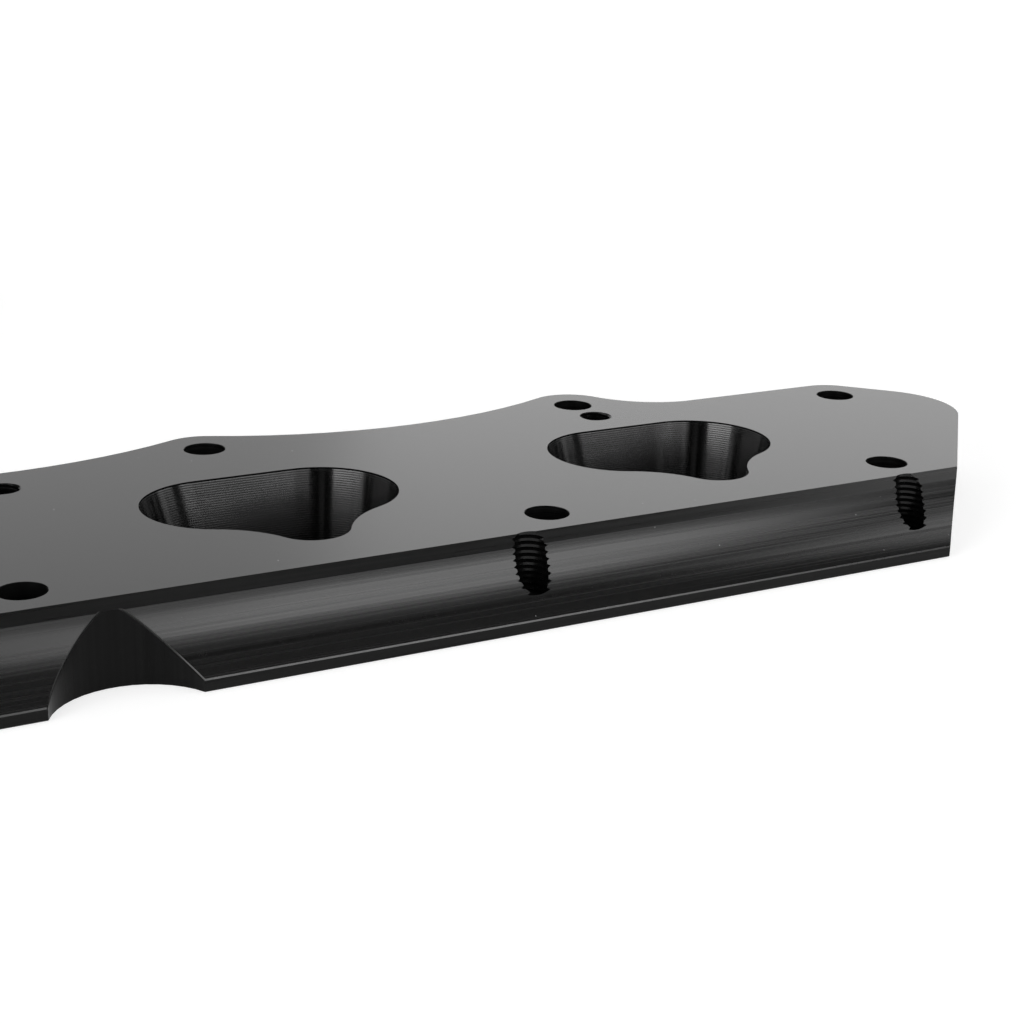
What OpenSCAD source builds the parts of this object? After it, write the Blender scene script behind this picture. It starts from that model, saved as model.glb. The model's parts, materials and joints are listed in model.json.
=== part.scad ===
// Intake manifold adapter plate for an in-line four-cylinder engine.
// One flat plate with four lobed intake ports, a coved front flange and scalloped back edge.
// It lies on its flange face. X runs along the plate, +Y points to the scalloped edge.

/* [Plate] */
// Thickness of the plate
plate_t = 16.4; // [13:0.1:22]
// Distance between neighbouring intake ports
port_pitch = 94; // [84:0.5:104]
// From the front stud row to the front edge of the top face
front_edge = 9; // [8:0.25:12]

/* [Front flange] */
// Depth and height of the bevel along the top front edge
bevel = 2; // [1:0.1:3]
// Radius of the hollow cove under the bevel
cove_r = 18; // [14:0.5:30]
// How far the lip stands out in front of the top face
lip_out = 10.45; // [8:0.05:13]
// Height of the lip face
lip_h = 2.4; // [1:0.1:4]

/* [Stud holes] */
// Diameter of the clearance holes
stud_d = 9; // [8:0.1:10]
// From the front stud row to the back stud row
row_gap = 70; // [66:0.5:78]
// How far the middle front hole lies left of the plate's centre
mid_hole_shift = 11.2; // [6:0.2:14]
// How far the outer front holes lie inside their port station
outer_hole_inset = 7.2; // [2:0.2:12]
// How far the end holes lie outside their port station
end_hole_out = 19.2; // [16:0.2:24]
// From the front stud row to the end holes
end_hole_y = 52.2; // [48:0.2:58]

/* [Tapped holes] */
// Core diameter of the tapped holes, for an 8 mm thread
tap_d = 6.8; // [5:0.1:8.5]
// From the front stud row to the tapped holes in the top face
top_tap_y = 59.2; // [56:0.2:61]
// From the front stud row forward to the tapped holes in the flange
flange_tap_y = 11.9; // [11:0.1:13]
// How far the tapped flange holes lie inside their port station
flange_tap_inset = 10; // [4:0.5:14]

/* [Outline] */
// Radius of the plate around its back and end holes
boss_r = 10.5; // [8:0.25:12]
// Radius of the long scallops between the back holes
scallop_r = 100; // [80:1:140]
// Radius of the inside corner beside the last back hole
shoulder_r = 23; // [12:1:30]
// Radius of the round end
end_r = 18.2; // [16:0.2:22]
// From the outer port station to the centre of the round end
end_round_out = 22.4; // [20:0.2:26]
// From the front stud row to the centre of the round end
end_round_y = 37.4; // [34:0.2:42]
// Slope of the cut-off end, from the long direction
end_slope = 48.2; // [40:0.2:60]

/* [Ports] */
// Radius of the big port corners
port_corner_r = 16.25; // [13:0.25:19]
// Distance between the centres of the two big corners
port_corner_gap = 21.5; // [16:0.5:28]
// From the front stud row to the port's back wall
port_back_y = 48.5; // [46:0.25:50]
// Radius of the hollow flanks
port_flank_r = 21; // [14:0.5:30]
// Radius of the small front lobe
port_lobe_r = 7.6; // [6:0.2:9]
// From the front stud row to the tip of the lobe
port_lobe_y = 3.2; // [1:0.1:6]
// Share of the mouth's size that the port has at its exit
port_exit = 0.88; // [0.75:0.01:1]
// How far the exit lies right of the mouth
port_exit_shift = 1.1; // [-3:0.1:3]
// Height of the straight land at the mouth
port_land = 0.4; // [0.2:0.1:2]
// How far the ports lie right of the stud pattern's centre
port_shift = 0.8; // [0:0.1:2]

/* [Notch] */
// Radius of the round notch in the flange
notch_r = 15.25; // [10:0.25:20]
// How far the notch bites in behind the foot of the bevel
notch_bite = 0.15; // [0.05:0.05:0.8]
// How far the notch lies right of the plate's centre
notch_shift = 1.1; // [-5:0.1:5]

/* [Hidden] */

// Cuts run this far past the faces they open in.
over = 1;
arc_step = 4;
hole_fn = 96;
cove_fn = 240;

// The holes are laid out from stations midway between the ports.
back_hole_x = [for (i = [-1.5:1:1.5]) i * port_pitch];
port_x = [for (x = back_hole_x) x + port_shift];
outer_station = 2 * port_pitch;
outer_hole_x = outer_station - outer_hole_inset;
end_hole_x = outer_station + end_hole_out;
front_hole_x = [-outer_hole_x, -port_pitch, -mid_hole_shift, port_pitch, outer_hole_x];
top_tap_x = [-1.5 * port_pitch, 0, 1.5 * port_pitch];
flange_tap_x = [for (i = [-2, -1, 1, 2]) i * port_pitch - sign(i) * flange_tap_inset];

// The front edge of the top face, the foot of the lip, and the whole depth.
top_front_y = -front_edge;
lip_front_y = top_front_y - lip_out;
back_y = row_gap + boss_r;
mid_y = (lip_front_y + back_y) / 2;

function polar(r, a) = r * [cos(a), sin(a)];
function angle_to(from, to) = atan2(to.y - from.y, to.x - from.x);
// Points of an arc, without its last one, because the next stretch starts there.
function arc(centre, r, a0, a1) =
    let (n = max(1, ceil(abs(a1 - a0) / arc_step)))
    [for (i = [0:n - 1]) centre + polar(r, a0 + (a1 - a0) * i / n)];
// The other half of an outline whose first point lies on the axis.
function mirrored(points) = [for (i = [len(points) - 1:-1:1]) [-points[i].x, points[i].y]];

// Right half of the plate's outline, from the middle scallop round to the front, where the
// outline runs past the lip and the section below trims it.
first_boss = [port_pitch / 2, row_gap];
last_boss = [1.5 * port_pitch, row_gap];
end_boss = [end_hole_x, end_hole_y];
end_round = [outer_station + end_round_out, end_round_y];
scallop_rise = sqrt(pow(scallop_r + boss_r, 2) - pow(port_pitch / 2, 2));
mid_scallop = [0, row_gap + scallop_rise];
side_scallop = [port_pitch, row_gap + scallop_rise];
side_y = end_hole_y + boss_r;
shoulder_rise = side_y + shoulder_r - row_gap;
shoulder_run = sqrt(pow(shoulder_r + boss_r, 2) - pow(shoulder_rise, 2));
shoulder = last_boss + [shoulder_run, shoulder_rise];
// The straight edge that touches both rounds at the back corner leans by this much.
round_span = norm(end_round - end_boss);
corner_angle = angle_to(end_boss, end_round) + acos((boss_r - end_r) / round_span);
slope_normal = end_slope - 90;
slope_top = end_round + polar(end_r, slope_normal);
slope_foot_y = lip_front_y - over;
slope_foot_x = slope_top.x - (slope_top.y - slope_foot_y) / tan(end_slope);

scallop_back = angle_to(mid_scallop, first_boss);
shoulder_start = angle_to(shoulder, last_boss);
right_half = concat(
    arc(mid_scallop, scallop_r, -90, scallop_back),
    arc(first_boss, boss_r, 180 + scallop_back, -scallop_back),
    arc(side_scallop, scallop_r, -180 - scallop_back, scallop_back),
    arc(last_boss, boss_r, 180 + scallop_back, 180 + shoulder_start),
    arc(shoulder, shoulder_r, shoulder_start, -90),
    arc(end_boss, boss_r, 90, corner_angle),
    arc(end_round, end_r, corner_angle, slope_normal),
    [slope_top, [slope_foot_x, slope_foot_y]]
);

module outline() {
    polygon(concat(mirrored(right_half), right_half));
}

// Section of the front edge: top face, bevel and lip. Drawn with depth as x and height as y.
// The bevel and the lip face run on into the cove, which then cuts them both to length.
bevel_foot = [top_front_y - bevel, plate_t - bevel];
bevel_end = bevel_foot - [over, over];
lip_top = [lip_front_y, lip_h];
lip_end = lip_top + [0, over];

module edge_section() {
    polygon([
        [back_y + over, 0],
        [back_y + over, plate_t],
        [top_front_y, plate_t],
        bevel_end,
        lip_end,
        [lip_front_y, 0]
    ]);
}

half_length = end_round.x + end_r + over;

module blank() {
    intersection() {
        linear_extrude(plate_t) outline();
        translate([-half_length, 0, 0])
            rotate([90, 0, 90])
                linear_extrude(2 * half_length) edge_section();
    }
}

// The cove is a long round cut whose wall runs from the foot of the bevel to the top of the lip.
cove_chord = norm(lip_top - bevel_foot);
cove_centre = (bevel_foot + lip_top) / 2
    + polar(sqrt(pow(cove_r, 2) - pow(cove_chord / 2, 2)), angle_to(bevel_foot, lip_top) - 90);

module cove() {
    translate([-half_length, cove_centre.x, cove_centre.y])
        rotate([0, 90, 0])
            cylinder(r = cove_r, h = 2 * half_length, $fn = cove_fn);
}

// Mouth of one port about its own axis: two big corners, hollow flanks and a small lobe.
corner = [port_corner_gap / 2, port_back_y - port_corner_r];
lobe = [0, port_lobe_y + port_lobe_r];
lobe_reach = port_flank_r + port_lobe_r;
corner_reach = port_flank_r + port_corner_r;
corner_span = norm(corner - lobe);
flank_lean = acos((pow(corner_span, 2) + pow(lobe_reach, 2) - pow(corner_reach, 2))
    / (2 * corner_span * lobe_reach));
flank_angle = angle_to(lobe, corner) - flank_lean;
flank = lobe + polar(lobe_reach, flank_angle);
port_right = concat(
    arc(lobe, port_lobe_r, -90, flank_angle),
    arc(flank, port_flank_r, 180 + flank_angle, angle_to(flank, corner)),
    arc(corner, port_corner_r, angle_to(corner, flank), 90),
    [[corner.x, port_back_y]]
);
port_mouth = concat(port_right, mirrored(port_right));
port_centre = [0, corner.y];

// The mouth's outline part of the way to the exit's size and place, at a height.
function port_ring(way, z) = [
    for (p = port_mouth)
        let (share = 1 - (1 - port_exit) * way, q = port_centre + share * (p - port_centre))
            [q.x + port_exit_shift * way, q.y, z]
];

module loft(rings) {
    n = len(rings[0]);
    last = len(rings) - 1;
    sides = [
        for (k = [0:last - 1], i = [0:n - 1])
            let (j = (i + 1) % n) [k * n + i, k * n + j, (k + 1) * n + j, (k + 1) * n + i]
    ];
    top = [for (i = [n - 1:-1:0]) i];
    bottom = [for (i = [0:n - 1]) last * n + i];
    polyhedron([for (r = rings) each r], concat([top], sides, [bottom]));
}

module port() {
    depth = plate_t - port_land;
    loft([
        port_ring(0, plate_t + over),
        port_ring(0, depth),
        port_ring((depth + over) / depth, -over)
    ]);
}

module hole(d) {
    translate([0, 0, -over]) cylinder(d = d, h = plate_t + 2 * over, $fn = hole_fn);
}

module notch() {
    notch_y = bevel_foot.x + notch_bite - notch_r;
    translate([notch_shift, notch_y, 0]) hole(2 * notch_r);
}

module adapter_plate() {
    color("#3a3b3d")
    translate([0, -mid_y, 0])
        difference() {
            blank();
            cove();
            for (x = port_x) translate([x, 0, 0]) port();
            for (x = front_hole_x) translate([x, 0, 0]) hole(stud_d);
            for (x = back_hole_x) translate([x, row_gap, 0]) hole(stud_d);
            for (x = [-end_hole_x, end_hole_x]) translate([x, end_hole_y, 0]) hole(stud_d);
            for (x = top_tap_x) translate([x, top_tap_y, 0]) hole(tap_d);
            for (x = flange_tap_x) translate([x, -flange_tap_y, 0]) hole(tap_d);
            notch();
        }
}

adapter_plate();
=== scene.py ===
# %% [markdown]
# An intake manifold adapter is one thick aluminium plate. It goes between a cylinder head and an
# intake manifold that wasn't made for it. It was milled from a solid bar and anodised black. The
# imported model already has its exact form, so this lesson finishes that form: finer curves, broken
# edges, real screw threads and a machined, anodised surface.

# %% Load the frame
import json
import math

import bpy
from mathutils import Matrix, Vector

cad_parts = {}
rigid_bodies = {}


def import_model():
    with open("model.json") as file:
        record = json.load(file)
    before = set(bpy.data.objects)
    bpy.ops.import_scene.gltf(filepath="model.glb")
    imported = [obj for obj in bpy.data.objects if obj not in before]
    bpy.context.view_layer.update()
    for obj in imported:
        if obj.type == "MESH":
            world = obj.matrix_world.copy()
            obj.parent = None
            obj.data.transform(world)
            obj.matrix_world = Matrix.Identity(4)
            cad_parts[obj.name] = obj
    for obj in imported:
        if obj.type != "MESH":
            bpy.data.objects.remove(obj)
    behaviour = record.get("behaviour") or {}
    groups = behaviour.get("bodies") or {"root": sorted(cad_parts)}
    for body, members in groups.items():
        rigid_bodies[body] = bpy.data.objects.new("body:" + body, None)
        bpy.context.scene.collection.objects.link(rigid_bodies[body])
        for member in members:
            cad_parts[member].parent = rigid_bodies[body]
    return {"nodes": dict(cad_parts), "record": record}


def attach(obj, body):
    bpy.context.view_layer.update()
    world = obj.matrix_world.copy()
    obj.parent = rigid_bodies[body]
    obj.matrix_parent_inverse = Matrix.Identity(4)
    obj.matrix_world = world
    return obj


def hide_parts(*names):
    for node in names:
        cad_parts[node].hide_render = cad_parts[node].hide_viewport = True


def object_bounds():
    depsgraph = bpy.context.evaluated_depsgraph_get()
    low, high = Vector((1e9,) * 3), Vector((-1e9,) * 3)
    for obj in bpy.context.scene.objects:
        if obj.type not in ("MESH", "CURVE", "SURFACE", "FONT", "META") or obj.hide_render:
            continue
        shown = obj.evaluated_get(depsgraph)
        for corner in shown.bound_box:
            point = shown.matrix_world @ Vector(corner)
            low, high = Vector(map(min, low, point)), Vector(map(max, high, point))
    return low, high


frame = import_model()
cad_box = [list(corner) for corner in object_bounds()]
low, high = Vector(cad_box[0]), Vector(cad_box[1])
print("plate, in millimetres:", [round(1000 * side, 2) for side in high - low])

# %% [markdown]
# The camera comes first, because it decides which surfaces the viewer sees closely. As in the
# photograph, it stands low in front of the left half, with a short telephoto lens. Its turn is
# built from three directions at right angles: right, up and backwards.

# %% Camera
camera = bpy.data.objects.new("camera", bpy.data.cameras.new("camera"))
bpy.context.scene.collection.objects.link(camera)
camera.data.sensor_width = 36
camera.data.lens = 64.8
camera.data.clip_start = 0.01
camera_place = Vector((-0.08241, -0.333775, 0.13229))
camera_aim = Vector((0.461149, 0.829875, -0.314080))
camera_up = Vector((0.129241, 0.287370, 0.949057))
camera_right = camera_aim.cross(camera_up)
camera_turn = Matrix((camera_right, camera_up, -camera_aim)).transposed()
camera.matrix_world = Matrix.Translation(camera_place) @ camera_turn.to_4x4()
camera.data.shift_x, camera.data.shift_y = -0.0005, 0.0005
bpy.context.scene.camera = camera
print("camera looks", round(math.degrees(math.asin(-camera_aim.z)), 1), "degrees down")

# %% [markdown]
# The plate's own sizes are named once, in metres. The front flange has a small bevel, a hollow
# cove and a thin upright lip, and a round notch bites into it near the middle.

# %% Sizes of the plate
MM = 0.001
thickness = high.z
bevel = 2 * MM
lip_height = 2.4 * MM
lip_out = 10.45 * MM
cove_radius = 18 * MM
notch_radius = 15.25 * MM
notch_bite = 0.15 * MM
notch_x = 1.1 * MM
land_height = 0.4 * MM
print("thickness, in millimetres:", round(thickness / MM, 2))

# %% [markdown]
# The cove is part of a long cylinder that lies along x. Its wall runs from the foot of the bevel
# to the top of the lip, so its axis lies on the line that halves the chord between those two.

# %% Axes of the notch and the cove
lip_y = low.y
bevel_foot_y = lip_y + lip_out - bevel
bevel_foot_z = thickness - bevel
notch_y = bevel_foot_y + notch_bite - notch_radius
notch_centre = Vector((notch_x, notch_y, thickness / 2))

chord = Vector((0, lip_y - bevel_foot_y, lip_height - bevel_foot_z))
chord_middle = Vector((0, (lip_y + bevel_foot_y) / 2, (lip_height + bevel_foot_z) / 2))
outward = Vector((0, chord.z, -chord.y)).normalized()
cove_axis = chord_middle + outward * math.sqrt(cove_radius**2 - (chord.length / 2) ** 2)
print("cove axis at y, z:", round(cove_axis.y / MM, 2), round(cove_axis.z / MM, 2))

# %% [markdown]
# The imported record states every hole, as single bores or as pairs with a spacing. Reading the
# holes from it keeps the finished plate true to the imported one. Only the middle tapped hole on
# top has no entry, because it lies midway between its two neighbours.


# %% Hole centres
def hole_centres(mount):
    """Where the holes of one mount lie, from its place in the record."""
    x, y, _ = mount["pos_m"]
    count = mount["dims"].get("count", 1)
    step = mount["dims"].get("spacing_x_mm", 0) * MM
    return [Vector((x + (i - (count - 1) / 2) * step, y, 0)) for i in range(count)]


mounts = {mount["name"]: mount for mount in frame["record"]["mounts"]}
stud_names = ["front_outer_holes", "front_inner_holes", "front_middle_hole"]
stud_names += ["back_outer_holes", "back_inner_holes", "end_holes"]
tapped_names = ["top_tapped_holes", "flange_inner_tapped_holes", "flange_outer_tapped_holes"]
stud_holes = [place for name in stud_names for place in hole_centres(mounts[name])]
tapped_holes = [place for name in tapped_names for place in hole_centres(mounts[name])]
tapped_holes.append(Vector((0, tapped_holes[0].y, 0)))
stud_radius = mounts["end_holes"]["dims"]["hole_r_mm"] * MM
core_radius = mounts["top_tapped_holes"]["dims"]["hole_r_mm"] * MM
print(len(stud_holes), "stud holes and", len(tapped_holes), "tapped holes")

# %% [markdown]
# Blender's operators act on whatever is selected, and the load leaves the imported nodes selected.
# So one small helper selects a single object, and another opens edit mode with everything in it
# selected.


# %% Selecting
def only(piece):
    bpy.ops.object.select_all(action="DESELECT")
    piece.select_set(True)
    bpy.context.view_layer.objects.active = piece


def edit_all(piece):
    only(piece)
    bpy.ops.object.mode_set(mode="EDIT")
    bpy.ops.mesh.select_all(action="SELECT")


def leave_edit():
    bpy.ops.object.mode_set(mode="OBJECT")


# %% [markdown]
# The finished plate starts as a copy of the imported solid. Its triangles come loose, so they are
# merged first, and flat neighbours are then dissolved into single faces, which bevels and cuts
# handle far better than slivers.


# %% Copy the solid
def merge_flat_faces(piece):
    edit_all(piece)
    bpy.ops.mesh.remove_doubles(threshold=0.001 * MM)
    bpy.ops.mesh.dissolve_limited(angle_limit=math.radians(0.2))
    leave_edit()


cad_plate = frame["nodes"]["adapter_plate"]
plate = bpy.data.objects.new("finished_plate", cad_plate.data.copy())
bpy.context.scene.collection.objects.link(plate)
edit_all(plate)
bpy.ops.mesh.customdata_custom_splitnormals_clear()
leave_edit()
merge_flat_faces(plate)
print("copied plate:", len(plate.data.polygons), "faces")

# %% [markdown]
# Each face is known by where it lies and which way it looks. The same small test serves twice:
# for picking the edges to break, and later for giving each surface its own finish.

# %% Name the surfaces
edge_width = 0.4 * MM
thread_reach = core_radius + 0.9 * MM
bore_reach = stud_radius + 0.1 * MM
ports_out = 180 * MM
ports_front, ports_back = -29 * MM, 20 * MM
bevel_normal = Vector((0, -1, 1)).normalized()
straight_on = 0.999


def near(a, b, slack=0.05 * MM):
    return abs(a - b) < slack


def reach(point, axis_point, along):
    """Distance of a point from an axis that runs along x (0) or z (2)."""
    gap = point - axis_point
    gap[along] = 0
    return gap.length


def surface_of(point, normal):
    if normal.z > straight_on and near(point.z, thickness):
        return "top"
    if normal.z < -straight_on and near(point.z, 0):
        return "flange"
    if any(reach(point, place, 2) < thread_reach for place in tapped_holes):
        return "thread"
    if any(reach(point, place, 2) < bore_reach for place in stud_holes):
        return "bore"
    from_notch = abs(reach(point, notch_centre, 2) - notch_radius)
    from_cove = abs(reach(point, cove_axis, 0) - cove_radius)
    if near(from_notch, 0) and abs(normal.z) < 0.2:
        return "notch"
    if near(from_cove, 0, 0.08 * MM) and abs(normal.x) < 0.2:
        return "cove"
    if normal.dot(bevel_normal) > straight_on:
        return "bevel"
    if normal.y < -straight_on and near(point.y, lip_y):
        return "lip"
    if from_cove < edge_width and min(from_notch, point.y - lip_y) < edge_width:
        return "edge"
    if abs(point.x) < ports_out and ports_front < point.y < ports_back:
        return "land" if point.z > thickness - land_height else "port"
    return "side"


def surfaces(piece):
    return [surface_of(face.center.copy(), face.normal.copy()) for face in piece.data.polygons]


names_found = surfaces(plate)
print({name: names_found.count(name) for name in sorted(set(names_found))})

# %% [markdown]
# A milled edge is never perfectly sharp. The outline has a fine flat on its edges, as a deburring
# brush leaves it. It is bevelled while the plate still has few faces, because a bevel can be no
# wider than the smallest face beside it.

# %% Break the edges of the outline
outline_pairs = [("top", "side"), ("flange", "side"), ("flange", "lip"), ("flange", "notch")]
outline_flat = 0.12 * MM


def edges_between(piece, pairs):
    """Numbers of the edges that part two kinds of surface, for each pair of names."""
    names = surfaces(piece)
    beside = {}
    for face in piece.data.polygons:
        for key in face.edge_keys:
            beside.setdefault(key, set()).add(names[face.index])
    wanted = [set(pair) for pair in pairs]
    edges = piece.data.edges
    return [edge.index for edge in edges if beside.get(tuple(sorted(edge.vertices))) in wanted]


def break_edges(piece, pairs, width):
    picked = edges_between(piece, pairs)
    edit_all(piece)
    bpy.ops.mesh.select_all(action="DESELECT")
    bpy.ops.mesh.select_mode(type="EDGE")
    leave_edit()
    for index in picked:
        piece.data.edges[index].select = True
    bpy.ops.object.mode_set(mode="EDIT")
    bpy.ops.mesh.bevel(
        offset=width, segments=1, affect="EDGES", clamp_overlap=True, loop_slide=False
    )
    leave_edit()
    return len(picked)


print("edges broken round the outline:", break_edges(plate, outline_pairs, outline_flat))

# %% [markdown]
# The rest is cut, as on the real plate. A cutter is a plain solid whose place is put into its
# mesh, so that it sits where the tool went. A Boolean modifier takes it out of the plate, and the
# cutter is thrown away.


# %% Cutters
def settled():
    """The newest object, with its place, turn and scale put into its mesh."""
    piece = bpy.context.object
    only(piece)
    bpy.ops.object.transform_apply()
    return piece


def rod(radius, length, sides, centre, turn=(0, 0, 0)):
    bpy.ops.mesh.primitive_cylinder_add(
        vertices=sides, radius=radius, depth=length, location=centre, rotation=turn
    )
    return settled()


def cut(solid, cutter):
    only(solid)
    trim = solid.modifiers.new("trim", "BOOLEAN")
    trim.operation = "DIFFERENCE"
    trim.solver = "MANIFOLD"
    trim.object = cutter
    bpy.ops.object.modifier_apply(modifier=trim.name)
    bpy.data.objects.remove(cutter)


# %% [markdown]
# The cove and the notch are turned again with finer cutters of the same radius, a few thousandths
# of a millimetre larger so that no sliver of the coarse wall is left. Long reflections in the
# cove need this: they show every flat in a curve.

# %% Turn the cove and the notch again
sliver = 0.005 * MM
along_plate = 2 * high.x
cut(plate, rod(cove_radius + sliver, along_plate, 360, cove_axis, (0, math.pi / 2, 0)))
cut(plate, rod(notch_radius + sliver, 2 * thickness, 240, notch_centre))
merge_flat_faces(plate)
print("after the cove and the notch:", len(plate.data.polygons), "faces")

# %% [markdown]
# The lip's top edge catches a thin line of light along the whole front, because its sharp corner
# was taken off. A long box that leans over the edge shaves it, with one face just inside the
# corner. A bevel would do the same on a plain box, but here the cove's narrow facets stop it.

# %% Break the lip's edge
box_side = 3 * MM
shave_depth = 0.1 * MM
lean = math.radians(26)
shave_normal = Vector((0, -math.cos(lean), math.sin(lean)))
lip_corner = Vector((0, lip_y, lip_height))
bpy.ops.mesh.primitive_cube_add(
    size=1,
    location=lip_corner + (box_side / 2 - shave_depth) * shave_normal,
    rotation=(-lean, 0, 0),
    scale=(along_plate, box_side, box_side),
)
cut(plate, settled())
print("after the lip's edge:", len(plate.data.polygons), "faces")

# %% [markdown]
# The notch's edge in the cove shines in the same way, but it is a curve in space, where two round
# walls meet. A thin wire is bent along that curve, starting and ending in front of the lip. As a
# mesh it gets its caps joined and its normals turned out, and then it is cut away.

# %% Break the notch's edge
wire_points = 96
wire_bend = bpy.data.curves.new("wire", "CURVE")
wire_bend.dimensions = "3D"
wire_bend.bevel_depth = 0.6 * edge_width
wire_bend.bevel_resolution = 1
wire_bend.use_fill_caps = True
line = wire_bend.splines.new("POLY")
line.points.add(wire_points)
first_turn = math.asin((lip_y - 0.5 * MM - notch_y) / notch_radius)
for i, point in enumerate(line.points):
    turn = first_turn + (math.pi - 2 * first_turn) * i / wire_points
    x = notch_x + notch_radius * math.cos(turn)
    y = notch_y + notch_radius * math.sin(turn)
    z = cove_axis.z - math.sqrt(cove_radius**2 - (y - cove_axis.y) ** 2)
    point.co = (x, y, z, 1)

wire = bpy.data.objects.new("wire", wire_bend)
bpy.context.scene.collection.objects.link(wire)
only(wire)
bpy.ops.object.convert(target="MESH")
edit_all(wire)
bpy.ops.mesh.remove_doubles(threshold=0.001 * MM)
bpy.ops.mesh.normals_make_consistent(inside=False)
leave_edit()
cut(plate, wire)
print("after the notch's edge:", len(plate.data.polygons), "faces")

# %% [markdown]
# The stud holes are plain reamed bores, and the tapped holes start as narrower ones. Both are
# drilled again with finer walls. All cutters of one kind are joined into one object first, so a
# single cut does them all.


# %% Drill the holes again
def cut_together(piece, cutters):
    bpy.ops.object.select_all(action="DESELECT")
    for cutter in cutters:
        cutter.select_set(True)
    bpy.context.view_layer.objects.active = cutters[0]
    bpy.ops.object.join()
    cut(piece, cutters[0])


def drill(piece, places, radius, sides):
    middle = Vector((0, 0, thickness / 2))
    length = 2 * thickness
    cut_together(piece, [rod(radius + sliver, length, sides, p + middle) for p in places])


drill(plate, stud_holes, stud_radius, 96)
drill(plate, tapped_holes, core_radius, 48)
print("after drilling:", len(plate.data.polygons), "faces")

# %% [markdown]
# The holes in the top face have a 45 degree rim: a hair's breadth on the stud holes, and a wider
# one where a tap has to start. A cone that comes down through the face cuts each rim.

# %% Chamfer the rims in the top face
stud_rim = 0.12 * MM
tap_rim = 0.42 * MM


def countersink(piece, places, radius, width):
    cones = []
    for place in places:
        bpy.ops.mesh.primitive_cone_add(
            vertices=96,
            radius1=radius - width,
            radius2=radius + 3 * width,
            depth=4 * width,
            location=place + Vector((0, 0, thickness)),
        )
        cones.append(settled())
    cut_together(piece, cones)


countersink(plate, stud_holes, stud_radius, stud_rim)
countersink(plate, [place for place in tapped_holes if place.y > 0], core_radius, tap_rim)
print("after the rims:", len(plate.data.polygons), "faces")

# %% [markdown]
# A tapped hole has a real screw thread: a 60 degree groove that climbs 1.25 mm a turn. One
# triangle is spun up a Screw modifier into a coil, which starts below the plate, and the coil's
# ends are closed.

# %% Coil for the threads
pitch = 1.25 * MM
groove_tip = 4.05 * MM
groove_size = 0.7 * MM
turns = math.ceil(thickness / pitch) + 3


def thread_coil():
    bpy.ops.mesh.primitive_circle_add(
        vertices=3,
        radius=groove_size,
        location=(groove_tip - groove_size, 0, -1.5 * pitch),
        rotation=(math.pi / 2, math.pi / 2, 0),
    )
    coil = settled()
    climb = coil.modifiers.new("climb", "SCREW")
    climb.axis = "Z"
    climb.screw_offset = pitch
    climb.iterations = turns
    climb.steps = climb.render_steps = 36
    bpy.ops.object.modifier_apply(modifier=climb.name)
    edit_all(coil)
    bpy.ops.mesh.fill_holes(sides=3)
    bpy.ops.mesh.select_all(action="SELECT")
    bpy.ops.mesh.normals_make_consistent(inside=False)
    leave_edit()
    return coil


coil = thread_coil()
print("coil:", len(coil.data.polygons), "faces,", turns, "turns")

# %% [markdown]
# Each hole gets its own copy of the coil as a cutter. The groove runs out through the faces by
# itself, which gives the ragged rim and the saw-toothed edge on the cove that a tap leaves. In
# the flange holes the coil sits a third of a turn deeper, so that the crests lie as on the plate.

# %% Cut the threads
for place in tapped_holes:
    groove = bpy.data.objects.new("groove", coil.data.copy())
    deeper = Vector((0, 0, -0.35 * pitch if place.y < 0 else 0))
    groove.data.transform(Matrix.Translation(place + deeper))
    bpy.context.scene.collection.objects.link(groove)
    cut(plate, groove)
bpy.data.objects.remove(coil)
print("after the threads:", len(plate.data.polygons), "faces")

# %% [markdown]
# So many cuts can leave a scrap with no thickness, loose beside the plate. Everything that hangs
# together with the plate's farthest point is the plate, and what is left over is deleted.


# %% Clear the scraps
def keep_main_shell(piece):
    edit_all(piece)
    bpy.ops.mesh.select_mode(type="VERT")
    bpy.ops.mesh.select_all(action="DESELECT")
    leave_edit()
    farthest = max(piece.data.vertices, key=lambda vertex: vertex.co.x)
    farthest.select = True
    bpy.ops.object.mode_set(mode="EDIT")
    bpy.ops.mesh.select_linked()
    bpy.ops.mesh.select_all(action="INVERT")
    bpy.ops.mesh.delete(type="VERT")
    leave_edit()


points_before = len(plate.data.vertices)
keep_main_shell(plate)
print("points in loose scraps:", points_before - len(plate.data.vertices))

# %% [markdown]
# Curved walls should shade smoothly and corners should stay crisp. Edges sharper than 25 degrees
# stay sharp by their angle. The ring where each port's short straight land ends is softer than
# that, so it is marked. Weighted normals then keep the big flat faces truly flat beside the tiny
# ones.

# %% Shade the curves
land_z = thickness - land_height
marked = 0
for edge in plate.data.edges:
    ends = [plate.data.vertices[i].co for i in edge.vertices]
    if all(near(end.z, land_z, 0.01 * MM) for end in ends):
        edge.use_edge_sharp = True
        marked += 1
only(plate)
bpy.ops.object.shade_smooth_by_angle(angle=math.radians(25), keep_sharp_edges=True)
weigh = plate.modifiers.new("weigh", "WEIGHTED_NORMAL")
weigh.keep_sharp = True
bpy.ops.object.modifier_apply(modifier=weigh.name)
print("land edges marked sharp:", marked)

# %% [markdown]
# A shader node's output is a pattern, and most patterns need the same few changes: stretched to a
# new range, or joined with another. These helpers add such nodes to a material and return the
# output to go on with.


# %% Helpers for patterns
def remapped(tree, source, low_in, high_in, low_out, high_out):
    """A pattern's strength, stretched from one range to another."""
    change = tree.nodes.new("ShaderNodeMapRange")
    ends = {"From Min": low_in, "From Max": high_in, "To Min": low_out, "To Max": high_out}
    for socket, value in ends.items():
        change.inputs[socket].default_value = value
    tree.links.new(source, change.inputs["Value"])
    return change.outputs["Result"]


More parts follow.
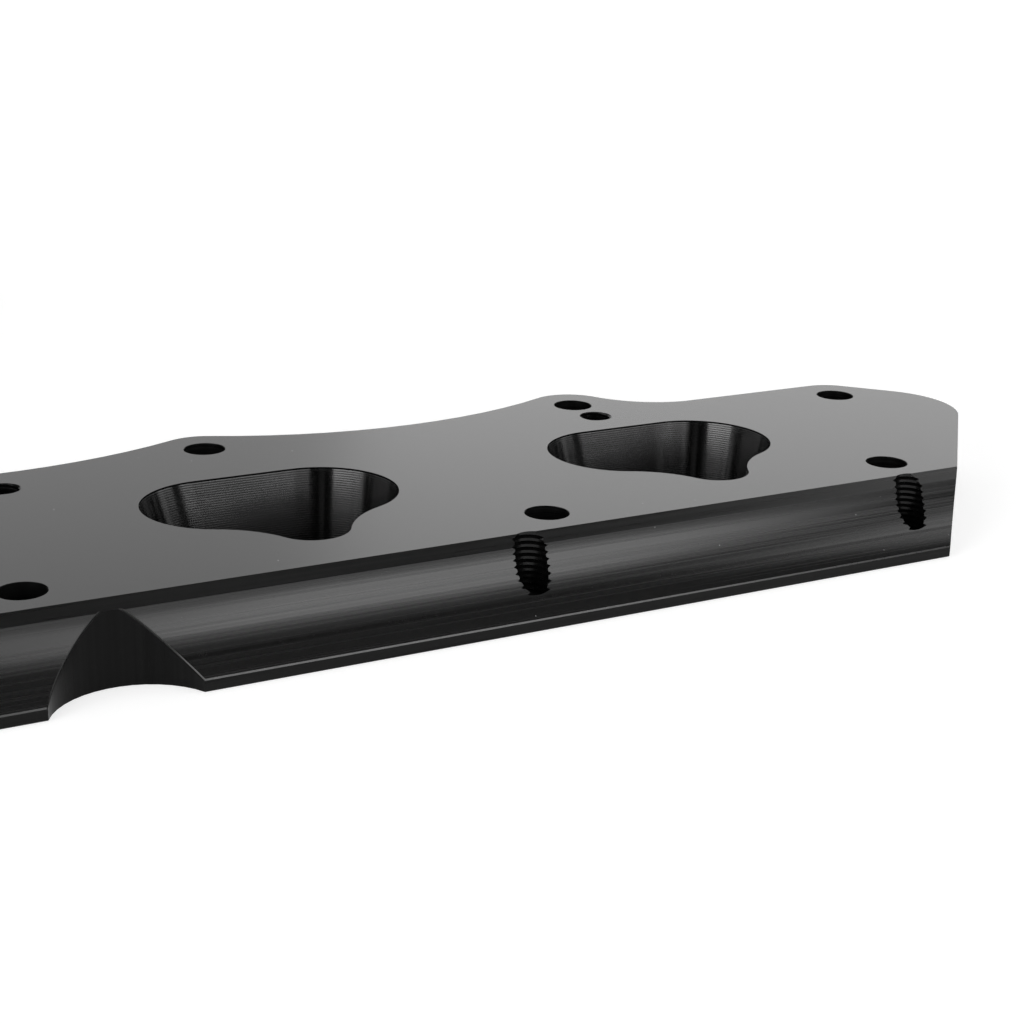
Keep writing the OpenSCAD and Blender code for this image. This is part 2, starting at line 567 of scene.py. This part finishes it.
def joined(tree, operation, first, second):
    """Two patterns joined by a sum such as MAXIMUM or MULTIPLY."""
    node = tree.nodes.new("ShaderNodeMath")
    node.operation = operation
    tree.links.new(first, node.inputs[0])
    tree.links.new(second, node.inputs[1])
    return node.outputs["Value"]


def new_material(name):
    material = bpy.data.materials.new(name)
    material.use_nodes = True
    return material, material.node_tree, material.node_tree.nodes["Principled BSDF"]


# %% [markdown]
# A cutter leaves fine marks along the way it went. Noise that is stretched along that way looks
# like them, and it drives the tone, the roughness and a very low relief. The port walls also have
# level steps from the mill's passes, and the open faces have caught some dust.

# %% Tool marks, steps and dust
step_strength, step_depth = 0.42, 0.02 * MM
dust_cells = 220
speck_core, speck_rim, speck_tone = 0.02, 0.035, 0.25


def tool_marks(tree, place, marks):
    stretch = tree.nodes.new("ShaderNodeMapping")
    stretch.inputs["Scale"].default_value = marks
    tree.links.new(place, stretch.inputs["Vector"])
    grain = tree.nodes.new("ShaderNodeTexNoise")
    grain.inputs["Scale"].default_value = 1
    grain.inputs["Detail"].default_value = 4
    tree.links.new(stretch.outputs["Vector"], grain.inputs["Vector"])
    return grain.outputs["Fac"]


def relief_of(tree, height, strength, depth):
    bump = tree.nodes.new("ShaderNodeBump")
    bump.inputs["Strength"].default_value = strength
    bump.inputs["Distance"].default_value = depth
    tree.links.new(height, bump.inputs["Height"])
    return bump


def mill_steps(tree, place, step):
    """The relief of level steps up a wall, one step high each."""
    steps = tree.nodes.new("ShaderNodeTexWave")
    steps.bands_direction = "Z"
    steps.inputs["Scale"].default_value = math.pi / (10 * step)
    steps.inputs["Distortion"].default_value = 0.5
    tree.links.new(place, steps.inputs["Vector"])
    return relief_of(tree, steps.outputs["Fac"], step_strength, step_depth)


def with_dust(tree, place, tone):
    """A tone with pale specks, wherever the surface passes the heart of a cell."""
    cells = tree.nodes.new("ShaderNodeTexVoronoi")
    cells.inputs["Scale"].default_value = dust_cells
    tree.links.new(place, cells.inputs["Vector"])
    speck = remapped(tree, cells.outputs["Distance"], speck_core, speck_rim, speck_tone, 0)
    return joined(tree, "MAXIMUM", tone, speck)


# %% [markdown]
# Black anodising is a thin, dyed, glass-hard skin on the metal. It is nearly black when seen
# straight on and turns grey where it mirrors the room at a low angle. So it is made as a dark
# dielectric and not as a metal. Every surface has the same skin, but the tool marks under it
# differ, so one function makes the finish and takes the direction and fineness of the marks.
# Where sweep is set, reflections are drawn out upright, as marks that run level do to them.

# %% The anodised finish
mark_depth = 0.01 * MM


def anodised(
    name,
    marks,
    gloss=0.5,
    shade=0.006,
    rough=0.3,
    uneven=0.15,
    ior=1.5,
    sweep=0.0,
    relief=0.1,
    step=0.0,
    dust=False,
):
    """Black anodised metal. marks is how many tool marks there are a metre along x, y and z."""
    finish, tree, skin = new_material(name)
    skin.inputs["IOR"].default_value = ior
    skin.inputs["Specular IOR Level"].default_value = gloss
    skin.inputs["Anisotropic"].default_value = sweep
    place = tree.nodes.new("ShaderNodeTexCoord").outputs["Object"]
    fine = tool_marks(tree, place, marks)

    tone = remapped(tree, fine, 0.3, 0.7, 0.6 * shade, 1.4 * shade)
    if dust:
        tone = with_dust(tree, place, tone)
    tree.links.new(tone, skin.inputs["Base Color"])
    wear = remapped(tree, fine, 0.3, 0.7, (1 - uneven) * rough, (1 + uneven) * rough)
    tree.links.new(wear, skin.inputs["Roughness"])

    bump = relief_of(tree, fine, relief, mark_depth)
    tree.links.new(bump.outputs["Normal"], skin.inputs["Normal"])
    if step:
        tree.links.new(mill_steps(tree, place, step).outputs["Normal"], bump.inputs["Normal"])
    if sweep:
        upright = tree.nodes.new("ShaderNodeCombineXYZ")
        upright.inputs["Z"].default_value = 1
        tree.links.new(upright.outputs["Vector"], skin.inputs["Tangent"])
    return finish


# %% [markdown]
# The top and the flange face are ground, so their marks are the finest. The cove, the bevel and
# the lip were cut along the plate, and their marks run that way: few of them a metre along x, and
# many across it. The notch and the sides were cut by an upright mill, which rubs the wall down.

# %% Finishes of the wide surfaces
ground = {"gloss": 0.27, "uneven": 0.04, "relief": 0.02}
finishes = {
    "top": anodised("ground_face", (300, 1800, 1), rough=0.25, dust=True, **ground),
    "flange": anodised("ground_flange", (300, 1800, 1), **ground),
    "cove": anodised(
        "turned_cove",
        (4, 2400, 2400),
        gloss=0.35,
        rough=0.25,
        uneven=0.3,
        sweep=0.2,
        relief=0.3,
        dust=True,
    ),
    "bevel": anodised("milled_bevel", (20, 1500, 1500), gloss=0.3),
    "lip": anodised("milled_lip", (20, 1500, 1500), gloss=0.12),
    # The notch's base colour, 0.004, is darker than the skin's 0.006: painted shade in its hollow.
    "notch": anodised("milled_notch", (900, 900, 20), gloss=0.08, shade=0.004, dust=True),
    "side": anodised("milled_side", (600, 600, 30)),
}
print("wide finishes:", list(finishes))

# %% [markdown]
# Light hardly reaches the walls of the holes, so their skin is given a darker base colour than
# outside, which is painted shade. The port walls are the glossiest, and show the windows and the
# gaps between them as upright bands.

# %% Finishes of the holes and the fine edges
# The base colours here, below the skin's 0.006, are painted shade in the holes.
finishes["land"] = anodised("straight_land", (600, 600, 30), gloss=0.1, shade=0.003)
finishes["port"] = anodised(
    "milled_port",
    (60, 60, 300),
    gloss=1.0,
    shade=0.002,
    rough=0.18,
    uneven=0.05,
    ior=1.57,
    sweep=0.9,
    relief=0.02,
    step=0.5 * MM,
)
finishes["bore"] = anodised("reamed_bore", (30, 30, 2500), gloss=0.2, shade=0.003)
finishes["thread"] = anodised("cut_thread", (800, 800, 800), gloss=0.25, shade=0.003, rough=0.25)
finishes["edge"] = anodised("broken_edge", (800, 800, 800), gloss=0.45)
print("finishes:", len(finishes))

# %% [markdown]
# Every face takes the finish of the surface it lies on. The plate then stands in for the imported
# solid, which is hidden, and rides on the same body.

# %% Give each surface its finish
plate.data.materials.clear()
order = list(finishes)
for name in order:
    plate.data.materials.append(finishes[name])
for face, name in zip(plate.data.polygons, surfaces(plate)):
    face.material_index = order.index(name)
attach(plate, "root")
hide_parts("adapter_plate")
print("finished plate:", len(plate.data.polygons), "faces in", len(order), "finishes")

# %% [markdown]
# A catalogue picture stands on plain white. Brighter lamps would give that, but they would wash
# out the plate too. So the ground and the room are lifted to white only where the camera or a
# reflection looks at them. A light path node tells such a look from scattered light.


# %% Seen directly or not
def seen_directly(tree):
    """1 where the camera, a reflection or glass looks, and 0 where light is only scattered."""
    path = tree.nodes.new("ShaderNodeLightPath")
    seen = joined(tree, "MAXIMUM", path.outputs["Is Camera Ray"], path.outputs["Is Glossy Ray"])
    return joined(tree, "MAXIMUM", seen, path.outputs["Is Transmission Ray"])


# %% [markdown]
# The floor is pale paint with a little light of its own, so it keeps the soft shadow under the
# plate. Far from the lamps it is lifted all the way to white.

# %% Floor
bpy.ops.mesh.primitive_plane_add(size=12, location=(0, 0, -0.1 * MM))
floor = bpy.context.object
floor.name = "floor"
pale, tree, paint = new_material("pale_floor")
paint.inputs["Base Color"].default_value = (0.6, 0.6, 0.6, 1)
paint.inputs["Roughness"].default_value = 0.9
paint.inputs["Emission Color"].default_value = (1, 1, 1, 1)
away = tree.nodes.new("ShaderNodeVectorMath")
away.operation = "LENGTH"
tree.links.new(tree.nodes.new("ShaderNodeTexCoord").outputs["Object"], away.inputs[0])
farther = remapped(tree, away.outputs["Value"], 0.3, 0.7, 0.65, 1)
lift = joined(tree, "MULTIPLY", seen_directly(tree), farther)
tree.links.new(lift, paint.inputs["Emission Strength"])
floor.data.materials.append(pale)
print("floor:", floor.dimensions.x, "m wide")

# %% [markdown]
# The room round the plate looks white too, but gives off little light, so that the windows shape
# the plate and not the room.

# %% White room
room_light = 0.15
world = bpy.data.worlds.new("white_room")
bpy.context.scene.world = world
world.use_nodes = True
tree = world.node_tree
glow = tree.nodes["Background"]
glow.inputs["Color"].default_value = (1, 1, 1, 1)
level = remapped(tree, seen_directly(tree), 0, 1, room_light, 1)
tree.links.new(level, glow.inputs["Strength"])
print("the room gives off", room_light, "of what it shows")

# %% [markdown]
# A glossy black part shows its studio. Windows and cards therefore stand where their mirror
# images fall on the plate as in the photograph. Each stands on a bearing, turned clockwise from
# straight behind the plate, and at a rise above the floor, and faces the plate.

# %% Where things stand in the studio
studio_middle = Vector((0.1, 0, 0.01))


def stand(bearings, rises, distance):
    """The place and the turn of something flat that fills the given bearings and rises."""
    turn = math.radians(sum(bearings) / 2)
    tilt = math.radians(sum(rises) / 2)
    flat = math.cos(tilt)
    way = Vector((math.sin(turn) * flat, math.cos(turn) * flat, math.sin(tilt)))
    return studio_middle + distance * way, (-way).to_track_quat("-Z", "Y").to_euler()


def span(angles, distance):
    """How wide something is that fills the angles from the studio's middle."""
    return 2 * distance * math.tan(math.radians(angles[1] - angles[0]) / 2)


print("a window 20 degrees wide, 1.1 m off:", round(span((0, 20), 1.1), 2), "m")

# %% [markdown]
# The photograph has two soft windows in front of the plate, one to the left, one to the right and
# two dim ones behind it. The lower of those gives the top face its grey sheen. Area lamps stand
# for them. Their power is worked out from their area, so each keeps the glow it is given.


# %% Soft windows
def soft_window(name, bearings, rises, glow, distance=1.1):
    """An area lamp that fills the given bearings and rises, at an even glow."""
    lamp = bpy.data.objects.new(name, bpy.data.lights.new(name, "AREA"))
    bpy.context.scene.collection.objects.link(lamp)
    lamp.location, lamp.rotation_euler = stand(bearings, rises, distance)
    wide, tall = span(bearings, distance), span(rises, distance)
    lamp.data.shape = "RECTANGLE"
    lamp.data.size, lamp.data.size_y = wide, tall
    lamp.data.energy = glow * math.pi * wide * tall
    print(name, round(wide, 2), "by", round(tall, 2), "m,", round(lamp.data.energy, 1), "W")


soft_window("front_window", (143, 165), (8, 36), 4.5)
soft_window("middle_window", (165, 189), (8, 36), 2)
soft_window("left_window", (224, 268), (3, 36), 3.4)
soft_window("right_window", (99, 126), (10, 46), 2)
soft_window("back_window", (23, 75), (8, 30), 0.67)
soft_window("back_top", (-50, 50), (45, 80), 0.6)

# %% [markdown]
# Between the windows the plate mirrors darkness: the gaps beside them, the space round the camera
# and the sides of the room. A card of dark cloth stands for each. Dull cloth is right here,
# because a shiny card would mirror the windows in its turn.


# %% Cloth for the cards
def card_cloth(name, shade):
    cloth, _, weave = new_material(name)
    weave.inputs["Base Color"].default_value = (shade, shade, shade, 1)
    weave.inputs["Specular IOR Level"].default_value = 0
    return cloth


# The black cloth serves the dark cards and also the painted shadow under the plate.
black_cloth_and_painted_shadow = card_cloth("black_cloth_and_painted_shadow", 0.01)
grey_cloth = card_cloth("grey_cloth", 0.45)
dim_cloth = card_cloth("dim_cloth", 0.05)
print("cloths:", black_cloth_and_painted_shadow.name, grey_cloth.name, dim_cloth.name)

# %% [markdown]
# A card fills the bearings and rises of the gap that it stands for, as a window does. The camera
# is told not to see it, so it never shows in a picture, and reflections still do.


# %% Dark cards
def put_up(name, place, turn, wide, tall, cloth):
    """A flat card that reflections see and the camera doesn't."""
    bpy.ops.mesh.primitive_plane_add(size=1, location=place, rotation=turn)
    bpy.context.object.scale = (wide, tall, 1)
    card = settled()
    card.name = name
    card.data.materials.append(cloth)
    card.visible_camera = False
    print(name, round(wide, 2), "by", round(tall, 2), "m")


def dark_card(name, bearings, rises, distance, cloth):
    place, turn = stand(bearings, rises, distance)
    put_up(name, place, turn, span(bearings, distance), span(rises, distance), cloth)


dark_card("camera_card", (190, 226), (2, 60), 0.5, black_cloth_and_painted_shadow)
dark_card("right_card", (128, 140), (0, 50), 1.3, black_cloth_and_painted_shadow)
dark_card("left_card", (270, 281), (3, 50), 1.3, black_cloth_and_painted_shadow)
dark_card("left_dim", (281, 335), (3, 50), 1.3, dim_cloth)
dark_card("right_dim", (58, 99), (3, 50), 1.3, dim_cloth)
dark_card("top_card", (100, 220), (48, 100), 1.2, grey_cloth)

# %% [markdown]
# Under the plate no light reaches the ground, and the walls of the ports mirror that darkness. A
# black sheet just under the plate, a little smaller than it and hidden from the camera, is painted
# shadow that gives the same dark bands.

# %% Painted shadow under the plate
shadow_mat_place = (0, -4.5 * MM, -0.05 * MM)
# A black sheet that stands for the plate's shadow on the ground: painted shadow.
put_up("painted_shadow_mat", shadow_mat_place, (0, 0, 0), 344 * MM, 51 * MM, black_cloth_and_painted_shadow)
bpy.context.scene.view_settings.view_transform = "Standard"
